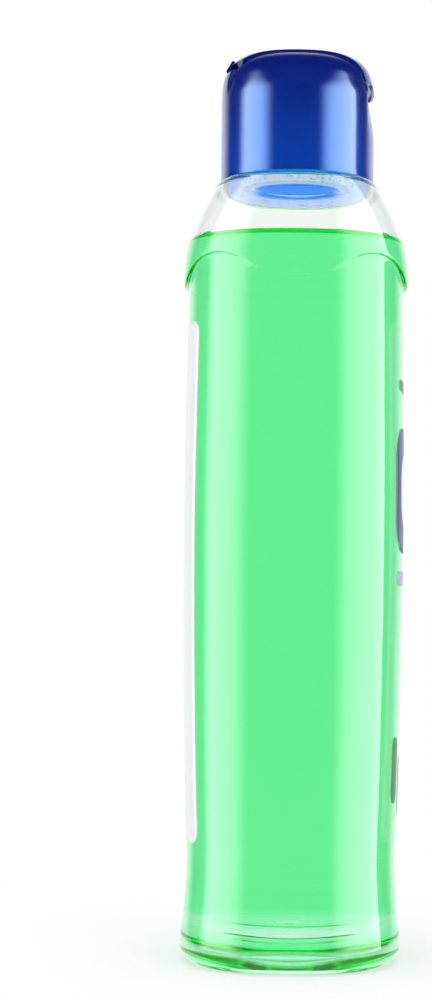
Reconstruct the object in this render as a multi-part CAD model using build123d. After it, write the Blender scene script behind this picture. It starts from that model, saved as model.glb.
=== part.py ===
"""Shower gel bottle: clear oval bottle with a draped shoulder, green fill and a flip-top cap.

Millimetres, +Z up. The origin is the middle of the standing ring, on the surface the bottle
stands on. X runs across the label faces, the front label faces -Y and the lid hinge is at +Y.
"""
from build123d import *
import math
import os

# Bottle body
body_width = 76.0            # across the label faces, at the belly
body_depth = 60.2            # front to back, at the belly
squareness = 2.55            # section: 2 is an ellipse, more is squarer
wall = 0.9                   # blown wall
base_wall = 2.2              # the base stays thicker than the sides
heel_height = 5.0            # height of the widest line of the heel
heel_inset = 4.4             # how far the heel rounds in down to the standing ring
heel_rings = 3               # level curves through the heel's rounding
ring_width = 3.4             # width of the standing ring
push_depth = 6.4             # how far the base is pushed up
plateau_radius = 12.2        # round plateau in the middle of the pushed-up base
plateau_height = 3.2
plateau_ledge = 1.0          # flat ring round the foot of the plateau
gate_radius = 3.6            # nub left by the moulding gate
gate_height = 1.2
heel_girth_share = 1.016     # girth of the heel against the belly
body_height_shares = (0.053, 0.09, 0.145, 0.24, 0.38, 0.53, 0.675, 0.82, 0.95)      # of the edge height
body_girth_shares = (0.997, 0.972, 0.955, 0.970, 0.987, 0.998, 1.0, 0.990, 0.978)   # of the belly

# Draped edge under the shoulder
edge_height = 187.6          # mean height of the edge
drape_rise = 3.6             # how far the edge waves above and below that
edge_overhang = 1.55         # how far the edge stands out at front and back
edge_least = 0.3             # and at the narrow sides, where it fades out
edge_margin = 1.0            # how far body and shoulder run past the edge inside each other
edge_girth_share = 0.974     # girth that the edge stands out from
body_top_share = 0.968       # girth of the body where it ends inside the shoulder
edge_along_shares = (0, 0.18, 0.36, 0.55, 0.72, 0.86, 0.93, 0.975, 1.0, 1.04, 1.12)   # of half the depth
edge_rise_shares = (-1, -0.85, -0.25, 0.6, 1, 0.8, 0.4, -0.1, -0.5, -1.0, -1.6)      # of the rise

# Shoulder
shoulder_rise = 25.4         # from the edge up to the ledge that the cap sits on
shoulder_rings = 5           # level curves through the shoulder's rounding
shoulder_power = 2.0         # 2 is a parabola from the edge in to the ledge
ledge = 0.8                  # ledge left standing outside the cap

# Neck
neck_radius = 13.0
neck_wall = 1.5
bead_rise = 0.8              # snap bead that holds the cap
bead_span = 2.4              # height of the bead's ring
bead_height = 9.0            # from the ledge up to the bead

# Fill
fill_drop = 17.3             # liquid line, under the ledge
fill_gap = 0.05

# Cap
cap_width = 64.4
cap_depth = 42.2
cap_height = 36.4
cap_squareness = 2.35
cap_wall = 1.6
dome_depth_height = 16.0     # rounded part, seen from the narrow side
dome_depth_power = 4.0       # 2 is round, more is boxier
dome_width_height = 20.0     # rounded part, seen from the front
dome_width_power = 2.8
skirt_rings = 4              # level curves up the skirt, then over the dome
dome_rings = 9
crown_share = 0.996          # height of the small flat crown, of the dome's height
deck_drop = 10.2             # deck of the lid channel, under the top of the dome
deck_thickness = 1.5
seal_gap = 0.4               # between the neck's rim and the deck
socket_gap = 0.1             # between the neck and the cap's inner socket
socket_wall = 1.2
socket_lift = 3.0            # how far the socket ends above the ledge

# Flip lid
lid_width = 34.0
lid_gap = 0.3                # all round the lid
lid_wall = 1.5
hinge_radius = 2.2
hinge_inset = 3.6            # hinge axis, in from the cap's rear face
hinge_drop = 4.4             # hinge axis, under the top of the dome
hinge_width = 22.0
strap_reach = 4.4            # how far the lid's rear strap reaches forward from the hinge axis
thumb_width = 22.0
thumb_reach = 1.6            # thumb lip, proud of the front face
thumb_height = 6.4
spout_radius = 4.8
spout_height = 4.0
orifice_radius = 3.2
collar_gap = 0.5             # between the spout and the lid's sealing collar round it
collar_wall = 1.0
collar_depth = 1.2           # how far the collar reaches down past the spout's rim

# Labels
label_gap = 0.04
label_thickness = 0.16
label_round = 4.0            # corner radius
front_label_width = 50.0
front_label_base = 34.0      # lower edge, over the ground
front_label_drop = 13.6      # upper edge, under the draped edge
back_label_width = 46.0
back_label_base = 33.0
back_label_drop = 13.6

# Drawing values
ring_points = 24             # points on each level curve
overrun = 5.0                # how far cutting shapes run past what they cut

round_power = 2              # a level curve of this power is an ellipse

# Worked out from the sizes above
half_width = body_width / 2
half_depth = body_depth / 2
foot_width = half_width * heel_girth_share - heel_inset
foot_depth = half_depth * heel_girth_share - heel_inset
shoulder_height = edge_height + shoulder_rise
fill_height = shoulder_height - fill_drop
cap_top = shoulder_height + cap_height
deck_height = cap_top - deck_drop
deck_underside = deck_height - deck_thickness
hinge_y = cap_depth / 2 - hinge_inset
hinge_z = cap_top - hinge_drop
lid_back = hinge_y - strap_reach
bore_radius = neck_radius - neck_wall
neck_top = deck_underside - seal_gap


def level_curve(height, across, along, power):
    """Closed oval curve at one height; across and along are its half sizes."""
    points = []
    for index in range(ring_points):
        turn = math.tau * index / ring_points
        x, y = math.cos(turn), math.sin(turn)
        points.append((
            across * math.copysign(abs(x) ** (2 / power), x),
            along * math.copysign(abs(y) ** (2 / power), y),
            height,
        ))
    even_steps = [index / ring_points for index in range(ring_points + 1)]
    return Wire([Edge.make_spline(points, periodic=True, parameters=even_steps)])


def upright_cylinder(radius, low, high):
    """Cylinder on the Z axis between two heights."""
    return Pos(0, 0, low) * Cylinder(radius, high - low, align=(Align.CENTER, Align.CENTER, Align.MIN))


def block(x_size, y_range, z_range):
    """Box centred across X, between two depths and two heights."""
    low_y, high_y = y_range
    low_z, high_z = z_range
    return Pos(0, (low_y + high_y) / 2, (low_z + high_z) / 2) * Box(x_size, high_y - low_y, high_z - low_z)


def body_form(inset, floor):
    """Oval body from the standing ring to just inside the shoulder, every side moved in by inset."""
    def body_ring(height, girth):
        return level_curve(height, half_width * girth - inset, half_depth * girth - inset, squareness)

    rings = []
    for step in range(heel_rings):
        turn = math.pi / 2 * step / heel_rings
        outward = heel_inset * math.sin(turn) - inset
        height = floor + (heel_height - floor / 2) * (1 - math.cos(turn))
        rings.append(level_curve(height, foot_width + outward, foot_depth + outward, squareness))
    rings.append(body_ring(heel_height + floor / 2, heel_girth_share))
    rings += [
        body_ring(edge_height * height, girth)
        for height, girth in zip(body_height_shares, body_girth_shares)
    ]
    rings.append(body_ring(edge_height + drape_rise + inset + edge_margin, body_top_share))
    return Solid.make_loft(rings)


def above_edge(inset):
    """Everything above the draped edge: a wavy outline seen from the narrow side, run across X."""
    side = [
        (half_depth * along, edge_height + drape_rise * rise + inset)
        for along, rise in zip(edge_along_shares, edge_rise_shares)
    ]
    points = [(-y, z) for y, z in reversed(side[1:])] + side
    reach = points[-1][0]
    top = shoulder_height + overrun
    outline = Spline(*points) + Polyline(points[-1], (reach, top), (-reach, top), points[0])
    return extrude(make_face(Plane.YZ * outline), amount=body_width, both=True)


def shoulder_form(inset):
    """Rounded shoulder from the draped edge up to the ledge, every side moved in by inset."""
    low_across = half_width * edge_girth_share + edge_least - inset
    low_along = half_depth * edge_girth_share + edge_overhang - inset
    top_across = cap_width / 2 + ledge - inset
    top_along = cap_depth / 2 + ledge - inset
    low = edge_height - drape_rise - edge_margin
    top = shoulder_height - inset
    rings = [level_curve(low, low_across, low_along, squareness)]
    for step in range(shoulder_rings + 1):
        share = step / shoulder_rings
        inward = share ** shoulder_power
        rings.append(level_curve(
            edge_height + (top - edge_height) * share,
            low_across + (top_across - low_across) * inward,
            low_along + (top_along - low_along) * inward,
            squareness + (cap_squareness - squareness) * share,
        ))
    return Solid.make_loft(rings) & above_edge(inset)


def push_up(side, rise):
    """The pushed-up recess under the base, grown sideways and upwards for the inside of the base."""
    across = foot_width - ring_width + side
    along = foot_depth - ring_width + side
    plateau = plateau_radius + side
    dome_top = plateau + plateau_ledge
    rings = []
    for step in range(heel_rings + 1):
        turn = math.pi / 2 * step / heel_rings
        rings.append(level_curve(
            (push_depth + rise) * math.sin(turn),
            dome_top + (across - dome_top) * math.cos(turn),
            dome_top + (along - dome_top) * math.cos(turn),
            round_power + (squareness - round_power) * math.cos(turn),
        ))
    mouth = extrude(Face(rings[0]), amount=overrun, dir=(0, 0, -1))
    plateau_top = push_depth + plateau_height + rise
    return Solid.make_loft(rings) + mouth + upright_cylinder(plateau, 0, plateau_top)


def neck_bead(grow):
    """Snap bead round the neck, grown for the groove that it snaps into."""
    middle = shoulder_height + bead_height
    outer = neck_radius + bead_rise + grow
    half = bead_span / 2 + grow
    outline = Polyline((bore_radius, middle - half), (neck_radius, middle - half), (outer, middle),
                       (neck_radius, middle + half), (bore_radius, middle + half), close=True)
    return revolve(make_face(Plane.XZ * outline), axis=Axis.Z)


def make_bottle():
    outside = body_form(0, 0) + shoulder_form(0)
    outside += upright_cylinder(neck_radius, shoulder_height, neck_top) + neck_bead(0)
    gate_low = push_depth + plateau_height - gate_height
    recess = push_up(0, 0) - upright_cylinder(gate_radius, gate_low, gate_low + overrun)
    inside = body_form(wall, base_wall) + shoulder_form(wall) - push_up(wall, base_wall)
    bore = upright_cylinder(bore_radius, shoulder_height - overrun, neck_top + overrun)
    return outside - recess - inside - bore


def make_fill():
    inset = wall + fill_gap
    form = body_form(inset, base_wall + fill_gap) + shoulder_form(inset)
    below = block(body_width, (-body_depth, body_depth), (-overrun, fill_height))
    return form & below - push_up(inset, base_wall + fill_gap)


def cap_form(inset, low):
    """Oval skirt that rounds over into a dome, every side and the top moved in by inset."""
    straight = cap_top - dome_depth_height
    across, along = cap_width / 2 - inset, cap_depth / 2 - inset
    rings = [
        level_curve(low + (straight - low) * step / skirt_rings, across, along, cap_squareness)
        for step in range(skirt_rings)
    ]
    for step in range(dome_rings + 1):
        share = crown_share * math.sin(math.pi / 2 * step / dome_rings)
        height = straight + (dome_depth_height - inset) * share
        width_share = max(0, height + inset * share - cap_top + dome_width_height) / dome_width_height
        depth_girth = (1 - share ** dome_depth_power) ** (1 / dome_depth_power)
        width_girth = (1 - width_share ** dome_width_power) ** (1 / dome_width_power)
        rings.append(level_curve(height, across * width_girth, along * depth_girth, cap_squareness))
    return Solid.make_loft(rings)


def hinge_barrel(grow, width):
    """Round barrel on the hinge axis."""
    return Pos(0, hinge_y, hinge_z) * Rot(0, 90, 0) * Cylinder(hinge_radius + grow, width)


def lid_channel(side_gap, floor, back):
    """Space of the lid between the cheeks, over the deck, forward of the hinge strap."""
    width = lid_width + 2 * side_gap
    main = block(width, (-cap_depth, lid_back + back), (floor, cap_top + overrun))
    strap = block(width, (lid_back, cap_depth), (hinge_z - back, cap_top + overrun))
    return main + strap


def hinge_pocket(gap):
    """Room round the hinge barrel, open upwards and to the rear, so that the lid can fold right back."""
    width = lid_width + 2 * gap
    behind = block(width, (hinge_y, cap_depth), (hinge_z - hinge_radius - gap, cap_top))
    return hinge_barrel(gap, width) + behind


def make_cap_body():
    skirt_low = shoulder_height
    outside = cap_form(0, skirt_low - overrun)
    shell = outside - cap_form(cap_wall, skirt_low - 2 * overrun)
    tray = lid_channel(lid_gap + cap_wall, deck_underside, lid_gap + cap_wall)
    tray += hinge_pocket(lid_gap + cap_wall)
    shell += cap_form(cap_wall / 2, skirt_low) & tray
    shell -= block(2 * cap_width, (-cap_depth, cap_depth), (skirt_low - 2 * overrun, skirt_low))
    socket_radius = neck_radius + socket_gap
    socket_outer = socket_radius + bead_rise + socket_wall
    shell += upright_cylinder(socket_outer, skirt_low + socket_lift, deck_height)
    shell -= upright_cylinder(socket_radius, skirt_low, deck_underside) + neck_bead(socket_gap)
    shell += upright_cylinder(spout_radius, deck_underside, deck_height + spout_height)
    shell -= upright_cylinder(orifice_radius, deck_underside - overrun, deck_height + overrun)
    open_space = lid_channel(lid_gap, deck_height, lid_gap) + hinge_pocket(lid_gap)
    open_space -= upright_cylinder(spout_radius, deck_underside, deck_height + spout_height)
    return shell - open_space


def thumb_lip():
    """Wedge at the front of the lid that the thumb pushes up."""
    face_y = -cap_depth / 2
    low = deck_height + lid_gap
    outline = Polyline((face_y + lid_wall, low), (face_y - thumb_reach / 2, low),
                       (face_y + lid_wall, low + thumb_height), close=True)
    return extrude(make_face(Plane.YZ * outline), amount=thumb_width / 2, both=True)


def sealing_collar():
    """Collar under the lid that closes round the outside of the spout."""
    low, top = deck_height + spout_height - collar_depth, cap_top - lid_wall
    inner = spout_radius + collar_gap
    return upright_cylinder(inner + collar_wall, low, top) - upright_cylinder(inner, low, top)


def make_flip_lid():
    low = deck_height + lid_gap
    space = lid_channel(0, low, 0)
    lid = cap_form(0, shoulder_height) & space
    hollow = block(lid_width - 2 * lid_wall, (-cap_depth, lid_back - lid_wall), (0, cap_top + overrun))
    lid -= cap_form(lid_wall, shoulder_height) & hollow
    return lid + hinge_barrel(0, hinge_width) + thumb_lip() + sealing_collar()


def make_label(front, width, base, drop):
    """Thin film on one of the label faces: a slice of the body's form, cut to a rounded window."""
    top = edge_height - drop
    window = Plane.XZ * Pos(0, (base + top) / 2) * RectangleRounded(width, top - base, label_round)
    reach = body_depth if front else -body_depth
    outer = -label_gap - label_thickness
    return body_form(outer, outer) & extrude(window, amount=reach) - body_form(-label_gap, -label_gap)


parts = {
    "bottle": make_bottle(),
    "shower_gel": make_fill(),
    "cap_body": make_cap_body(),
    "flip_lid": make_flip_lid(),
    "front_label": make_label(True, front_label_width, front_label_base, front_label_drop),
    "back_label": make_label(False, back_label_width, back_label_base, back_label_drop),
}

os.makedirs("parts", exist_ok=True)
for name, shape in parts.items():
    export_step(shape, f"parts/{name}.step")
    print(name, round(shape.volume), "mm3, solids", len(shape.solids()), "valid", shape.is_valid)
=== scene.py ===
# %% [markdown]
# # A bottle of shower gel
# A clear oval bottle, its green gel, a glossy blue flip-top cap and two labels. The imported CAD
# model comes in as a fixed frame. Finer pieces are modelled over it, in the same place and size,
# and each one rides on the body that it belongs to.

# %% Start from the frame
import math
import random

import bmesh
import bpy
from mathutils import Matrix, Vector


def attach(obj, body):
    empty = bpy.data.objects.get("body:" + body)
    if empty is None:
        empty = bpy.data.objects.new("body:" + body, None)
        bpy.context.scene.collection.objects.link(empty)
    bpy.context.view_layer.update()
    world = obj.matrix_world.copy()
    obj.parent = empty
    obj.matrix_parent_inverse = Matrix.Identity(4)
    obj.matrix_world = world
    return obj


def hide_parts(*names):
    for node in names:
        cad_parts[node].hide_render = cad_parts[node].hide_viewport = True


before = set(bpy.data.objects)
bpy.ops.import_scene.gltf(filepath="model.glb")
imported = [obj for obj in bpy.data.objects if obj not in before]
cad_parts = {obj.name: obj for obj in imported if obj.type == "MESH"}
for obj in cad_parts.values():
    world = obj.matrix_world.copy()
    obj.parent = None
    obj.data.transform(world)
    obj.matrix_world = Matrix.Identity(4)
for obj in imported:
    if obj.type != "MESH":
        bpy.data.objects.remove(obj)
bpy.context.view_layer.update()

# %% [markdown]
# On its way through a filled bottle, light passes many surfaces and is mirrored inside the thick
# base. With too few bounces allowed, the base would turn black, so there are more than usual here.

# %% Bounces of light
BOUNCES = 32
light_paths = bpy.context.scene.cycles
light_paths.max_bounces = BOUNCES
light_paths.transmission_bounces = BOUNCES
light_paths.glossy_bounces = BOUNCES
light_paths.transparent_max_bounces = BOUNCES
print("bounces of light:", light_paths.max_bounces)

# %% [markdown]
# All shapes below are drawn in millimetres and made metres when a piece is finished, because the
# numbers are easier to read that way. Every piece ends up at the origin, with its place in its
# mesh, so that patterns on Object coordinates stay where they belong.

# %% Finish a piece
MILLIMETRE = 0.001
SHARP_ANGLE = math.radians(38)


def finished_piece(name, mesh_draft, body, materials, nodes=()):
    """Turns a bmesh drawn in millimetres into a piece that rides on its CAD body."""
    bmesh.ops.scale(mesh_draft, vec=(MILLIMETRE,) * 3, verts=mesh_draft.verts)
    for face in mesh_draft.faces:
        face.smooth = True
    mesh = bpy.data.meshes.new(name)
    mesh_draft.to_mesh(mesh)
    mesh_draft.free()
    mesh.set_sharp_from_angle(angle=SHARP_ANGLE)
    for material in materials:
        mesh.materials.append(material)
    piece = bpy.data.objects.new(name, mesh)
    bpy.context.scene.collection.objects.link(piece)
    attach(piece, body)
    if nodes:
        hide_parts(*nodes)
    size = [round(side / MILLIMETRE, 1) for side in piece.dimensions]
    print(name, len(mesh.polygons), "faces, size in mm", size)
    return piece


# %% [markdown]
# The bottle's section is an oval with soft corners. A ring of it starts as a plain circle: each
# point of the circle is pushed out until it lies on the oval. A power of 2 gives an ellipse, and
# more gives squarer sides.

# %% Rings of the oval section
def on_oval(x, y, across, along, power):
    """A point of the unit circle, pushed out to an oval with those half sizes."""
    reach = (abs(x) ** power + abs(y) ** power) ** (-1 / power)
    return across * x * reach, along * y * reach


def oval_row(height, across, along, power):
    """A level ring."""
    return lambda x, y: (*on_oval(x, y, across, along, power), height)


def round_row(height, radius):
    """A level round ring."""
    return oval_row(height, radius, radius, 2)


def mix(a, b, share):
    return a + (b - a) * share


# %% [markdown]
# Between the measured girths the wall has to run smoothly, because a clear bottle shows every
# bump twice: on its surface and in what is seen through it. So the girths are joined by cubic
# pieces that share their slopes.

# %% A smooth line through measured points
def smooth_line(points):
    """A function through those (position, value) points, smooth all along."""
    places = [place for place, _ in points]
    values = [value for _, value in points]
    steps = [
        (values[i + 1] - values[i]) / (places[i + 1] - places[i]) for i in range(len(points) - 1)
    ]
    slopes = [steps[0]] + [(a + b) / 2 for a, b in zip(steps, steps[1:])] + [steps[-1]]

    def value_at(place):
        i = max(0, min(len(points) - 2, sum(known <= place for known in places) - 1))
        span = places[i + 1] - places[i]
        t = max(0.0, min(1.0, (place - places[i]) / span))
        return (
            values[i] * (1 + 2 * t) * (1 - t) ** 2
            + values[i + 1] * t * t * (3 - 2 * t)
            + span * slopes[i] * t * (1 - t) ** 2
            - span * slopes[i + 1] * t * t * (1 - t)
        )

    return value_at


# %% [markdown]
# The bottle's girth changes a little over its height: a flared heel, a slight waist above it and
# a full belly. The shoulder's edge rises and falls round the bottle. Both were measured in the
# picture, the girth as a share of the belly's, the edge as a share of its rise.

# %% Sizes of the bottle
HALF_WIDTH, HALF_DEPTH = 38.0, 30.1
SQUARENESS = 2.55
WALL, BASE_WALL = 0.9, 2.2
HEEL_HEIGHT, HEEL_INSET, HEEL_SHARE = 5.0, 4.4, 1.016
EDGE_HEIGHT, DRAPE_RISE = 187.6, 3.6
SHOULDER_TOP = 213.0
LEDGE_HALF_WIDTH, LEDGE_HALF_DEPTH, LEDGE_POWER = 33.0, 21.9, 2.35
NECK_RADIUS, BORE_RADIUS = 13.0, 11.5
EDGE_HALF_WIDTH, EDGE_HALF_DEPTH = HALF_WIDTH * 0.974 + 0.3, HALF_DEPTH * 0.974 + 1.55

girth = smooth_line([
    (5, 1.016), (10, 0.997), (17, 0.972), (27.2, 0.955), (45, 0.970), (71.3, 0.987),
    (99.4, 0.998), (126.6, 1.0), (153.8, 0.990), (178.2, 0.979), (188, 0.974), (200, 0.968),
])
drape = smooth_line([
    (0, -1), (0.18, -0.85), (0.36, -0.25), (0.55, 0.6), (0.72, 1), (0.86, 0.8),
    (0.93, 0.4), (0.975, -0.1), (1.0, -0.5), (1.04, -1.0), (1.12, -1.6),
])


# %% [markdown]
# The body is a stack of level rings. The shoulder is a second skin that hangs over the body like
# a cloth, and its lower edge waves up and down round the bottle. Rings near that edge follow the
# wave, and the ones further off settle back to level, so the faces stay even.

# %% Rings of the body, the edge and the shoulder
SEAM_RISE, SEAM_HALF_WIDTH = 0.07, 1.0
SEAM_START, SEAM_RUN_IN = 12, 20


def smooth_step(share):
    """From 0 to 1 with a soft start and a soft end."""
    share = max(0.0, min(1.0, share))
    return share * share * (3 - 2 * share)


def body_half(height, inset=0):
    share = girth(height)
    return HALF_WIDTH * share - inset, HALF_DEPTH * share - inset


def shoulder_half(height, inset=0):
    share = max(0.0, (height - EDGE_HEIGHT) / (SHOULDER_TOP - EDGE_HEIGHT))
    return (
        mix(EDGE_HALF_WIDTH, LEDGE_HALF_WIDTH, share ** 2) - inset,
        mix(EDGE_HALF_DEPTH, LEDGE_HALF_DEPTH, share ** 2) - inset,
        mix(SQUARENESS, LEDGE_POWER, share),
    )


def body_row(height, inset=0):
    """A ring of the body, with the fine ridge that the two mould halves leave on the outside."""
    wide, deep = body_half(height, inset)
    ridge = 0 if inset else SEAM_RISE * smooth_step((height - SEAM_START) / SEAM_RUN_IN)

    def place(x, y):
        across, along = on_oval(x, y, wide, deep, SQUARENESS)
        if abs(along) < SEAM_HALF_WIDTH:
            across += math.copysign(ridge * (1 - abs(along) / SEAM_HALF_WIDTH), across)
        return across, along, height

    return place


def draped_row(level, follow, lift, inward, inset=0):
    """A ring from the shoulder's skin (inward 0) to the body's (inward 1) along the wavy edge."""

    def place(x, y):
        _, along_share = on_oval(x, y, 1, 1, SQUARENESS)
        edge = EDGE_HEIGHT + DRAPE_RISE * drape(abs(along_share) * EDGE_HALF_DEPTH / HALF_DEPTH)
        height = mix(level, edge + lift, follow)
        wide, deep, power = shoulder_half(height, inset)
        body_wide, body_deep = body_half(height, inset)
        outline = mix(wide, body_wide, inward), mix(deep, body_deep, inward)
        return (*on_oval(x, y, *outline, power), height)

    return place


def spread(first, last, count):
    """Evenly spaced values, both ends in."""
    return [mix(first, last, index / (count - 1)) for index in range(count)]


def heel_rows(inset, floor, steps=9):
    rows = []
    for turn in spread(0, math.pi / 2, steps):
        outward = HEEL_INSET * (math.sin(turn) - 1) - inset
        height = floor + (HEEL_HEIGHT - floor / 2) * (1 - math.cos(turn))
        wide, deep = HALF_WIDTH * HEEL_SHARE + outward, HALF_DEPTH * HEEL_SHARE + outward
        rows.append(oval_row(height, wide, deep, SQUARENESS))
    return rows


BODY_TOP, BODY_ROWS = 180.0, 42
UNDER_EDGE_LEVELS = (180.7, 181.5)
UNDER_EDGE_HEIGHT, UNDER_EDGE_LIFT = 182.2, -1.9
OVER_EDGE_HEIGHT, OVER_EDGE_LIFT = 193.0, 1.7
SHOULDER_LOW, SHOULDER_HIGH, SHOULDER_ROWS = 194.2, 212.4, 18
ROLLED_EDGE = (
    # lift over the edge, share of the way in to the body
    (-1.35, 0.99), (-0.85, 0.95), (-0.42, 0.86), (-0.12, 0.7), (0.02, 0.5), (0.12, 0.28),
    (0.32, 0.1), (0.65, 0.025), (1.05, 0), (1.7, 0),
)


def wall_rows(inset, first=6.5):
    """Body wall, draped edge and shoulder, from the heel up to just under the ledge."""
    rows = [body_row(height, inset) for height in spread(first, BODY_TOP, BODY_ROWS)]
    rows += [draped_row(level, 0, 0, 1, inset) for level in UNDER_EDGE_LEVELS]
    rows += [
        draped_row(UNDER_EDGE_HEIGHT, follow, UNDER_EDGE_LIFT + inset, 1, inset)
        for follow in (0.3, 0.65, 1)
    ]
    rows += [draped_row(0, 1, lift + inset, inward, inset) for lift, inward in ROLLED_EDGE]
    rows += [
        draped_row(OVER_EDGE_HEIGHT, follow, OVER_EDGE_LIFT + inset, 0, inset)
        for follow in (0.8, 0.55, 0.3, 0.1)
    ]
    rows += [
        draped_row(level, 0, 0, 0, inset)
        for level in spread(SHOULDER_LOW, SHOULDER_HIGH - inset, SHOULDER_ROWS)
    ]
    return rows


# %% [markdown]
# The base is pushed up inside its standing ring, so that the bottle stands firmly, with a round
# plateau in the middle and the nub of the moulding gate under it. The same rows, moved in by the
# wall, make the inside of the base, which the gel lies on.

# %% Rings of the pushed-up base
FOOT_WIDTH = HALF_WIDTH * HEEL_SHARE - HEEL_INSET
FOOT_DEPTH = HALF_DEPTH * HEEL_SHARE - HEEL_INSET
RING_WIDTH, PUSH_DEPTH = 3.4, 6.4
PLATEAU_RADIUS, PLATEAU_HEIGHT = 12.2, 3.2
PLATEAU_RIM = ((0.06, 0.45), (0.3, 0.12), (0.8, 0))
PLATEAU_FOOT = ((0.7, 0), (0.25, 0.15), (0.05, 0.5))
GATE_RADIUS, GATE_HEIGHT = 3.6, 1.2


def plateau_rows(side, rise):
    """From near the middle of the plateau out to the foot of its wall."""
    top, low = PUSH_DEPTH + PLATEAU_HEIGHT + rise, PUSH_DEPTH + rise
    radius = PLATEAU_RADIUS + side
    rows = [round_row(top, radius * share) for share in (0.45, 0.7, 0.9)]
    rows += [round_row(top - drop, radius - inward) for drop, inward in PLATEAU_RIM]
    rows += [round_row(low + lift, radius + outward) for lift, outward in PLATEAU_FOOT]
    return rows


def dome_rows(side, rise, steps=10):
    """From the foot of the plateau out and down to the standing ring."""
    middle = PLATEAU_RADIUS + side + 1.0
    wide, deep = FOOT_WIDTH - RING_WIDTH + side, FOOT_DEPTH - RING_WIDTH + side
    rows = []
    for turn in spread(math.pi / 2, 0, steps):
        out = math.cos(turn)
        rows.append(oval_row(
            (PUSH_DEPTH + rise) * math.sin(turn), mix(middle, wide, out), mix(middle, deep, out),
            mix(2, SQUARENESS, out)))
    return rows


# %% [markdown]
# One tube makes the whole shell. It starts in the middle of the recess under the base, runs out
# and up the outside, over the neck's rim, down the bore and the inside of the wall, and ends on
# the plateau inside. A short line of points, one for each row, is spun into a tube of radius 1,
# and every point is then sent to its row's ring.

# %% Spin a tube and shape it
SEGMENTS = 168


def shaped_tube(rows, finish_of_row=None, segments=SEGMENTS):
    """A closed tube through those rows. finish_of_row gives each band of faces its material."""
    draft = bmesh.new()
    line = [draft.verts.new((1, 0, index)) for index in range(len(rows))]
    steps = [draft.edges.new(pair) for pair in zip(line, line[1:])]
    bmesh.ops.spin(
        draft, geom=line + steps, cent=(0, 0, 0), axis=(0, 0, 1),
        angle=math.tau, steps=segments, use_merge=True)
    if finish_of_row:
        for face in draft.faces:
            face.material_index = finish_of_row(math.floor(face.calc_center_median().z))
    for vert in draft.verts:
        vert.co = rows[round(vert.co.z)](vert.co.x, vert.co.y)
    return draft


def close_ends(draft, finishes=(0, 0)):
    """Closes the first and the last ring with a fan of faces."""
    rims = [edge for edge in draft.edges if edge.is_boundary]
    caps = bmesh.ops.holes_fill(draft, edges=rims, sides=0)["faces"]
    for face, finish in zip(sorted(caps, key=lambda f: f.calc_center_median().z), finishes):
        face.material_index = finish
    bmesh.ops.poke(draft, faces=caps)
    bmesh.ops.recalc_face_normals(draft, faces=draft.faces)


# %% [markdown]
# The rows now come together in the order in which a finger would run over the shell. The neck
# under the cap has a bead that the cap snaps over, and a bore of 23 mm. All its small rounds are
# in one table, as a turner would write them down: how high over the ledge, and how far out.

# %% Rows of the bottle
FILL_HEIGHT = 195.4
MENISCUS = 1.4

gate_low = PUSH_DEPTH + PLATEAU_HEIGHT - GATE_HEIGHT
gate_rows = [round_row(gate_low, GATE_RADIUS * share) for share in (0.3, 0.85)]
gate_rows += [round_row(gate_low + 0.15, GATE_RADIUS), round_row(gate_low + 1.0, GATE_RADIUS + 0.1)]
ring_rows = [
    oval_row(height, FOOT_WIDTH - RING_WIDTH + out, FOOT_DEPTH - RING_WIDTH + out, SQUARENESS)
    for height, out in ((0.1, 0.3), (0.0, 0.7), (0.0, RING_WIDTH - 0.4))
]
recess_rows = gate_rows + plateau_rows(0, 0) + dome_rows(0, 0)[:-1]
outer_rows = recess_rows + ring_rows + heel_rows(0, 0)[1:] + wall_rows(0)

NECK_FOOT = 15
ledge_rows = [
    oval_row(SHOULDER_TOP - drop, LEDGE_HALF_WIDTH - inward, LEDGE_HALF_DEPTH - inward, LEDGE_POWER)
    for drop, inward in ((0.3, 0.05), (0.08, 0.35), (0, 0.9))
]
ledge_rows += [
    oval_row(SHOULDER_TOP, mix(LEDGE_HALF_WIDTH, NECK_FOOT, share),
             mix(LEDGE_HALF_DEPTH, NECK_FOOT, share), mix(LEDGE_POWER, 2, share))
    for share in (0.25, 0.5, 0.8, 1)
]
NECK_PROFILE = (
    (0.1, 14.0), (0.5, 13.3), (1.2, NECK_RADIUS), (4, NECK_RADIUS), (7.8, NECK_RADIUS),
    (8.0, 13.1), (8.8, 13.7), (9.0, 13.78), (9.2, 13.7), (10.0, 13.1), (10.2, NECK_RADIUS),
    (14, NECK_RADIUS), (18, NECK_RADIUS), (23.8, NECK_RADIUS), (24.2, 12.85), (24.3, 12.5),
    (24.3, 12.0), (24.2, 11.65), (23.8, BORE_RADIUS), (16, BORE_RADIUS), (8, BORE_RADIUS),
    (1.5, BORE_RADIUS), (0, 11.65), (-0.6, 12.1), (-0.85, 12.9), (-0.9, 14.0),
)
neck_rows = [round_row(SHOULDER_TOP + lift, radius) for lift, radius in NECK_PROFILE]
ceiling_rows = [
    oval_row(SHOULDER_TOP - WALL, mix(NECK_FOOT, LEDGE_HALF_WIDTH - WALL, share),
             mix(NECK_FOOT, LEDGE_HALF_DEPTH - WALL, share), mix(2, LEDGE_POWER, share))
    for share in (0.2, 0.5, 0.8, 0.97)
]

FIRST_INSIDE, INNERMOST = 7.5, 1.5
inner_wall = wall_rows(WALL, FIRST_INSIDE)[::-1]
inner_base = heel_rows(WALL, BASE_WALL)[::-1] + dome_rows(WALL, BASE_WALL)[:-1][::-1]
inner_base += plateau_rows(WALL, BASE_WALL)[::-1]
inner_base += [round_row(PUSH_DEPTH + PLATEAU_HEIGHT + BASE_WALL, INNERMOST)]
bottle_rows = outer_rows + ledge_rows + neck_rows + ceiling_rows + inner_wall + inner_base
print("rows of the bottle:", len(bottle_rows))

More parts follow.
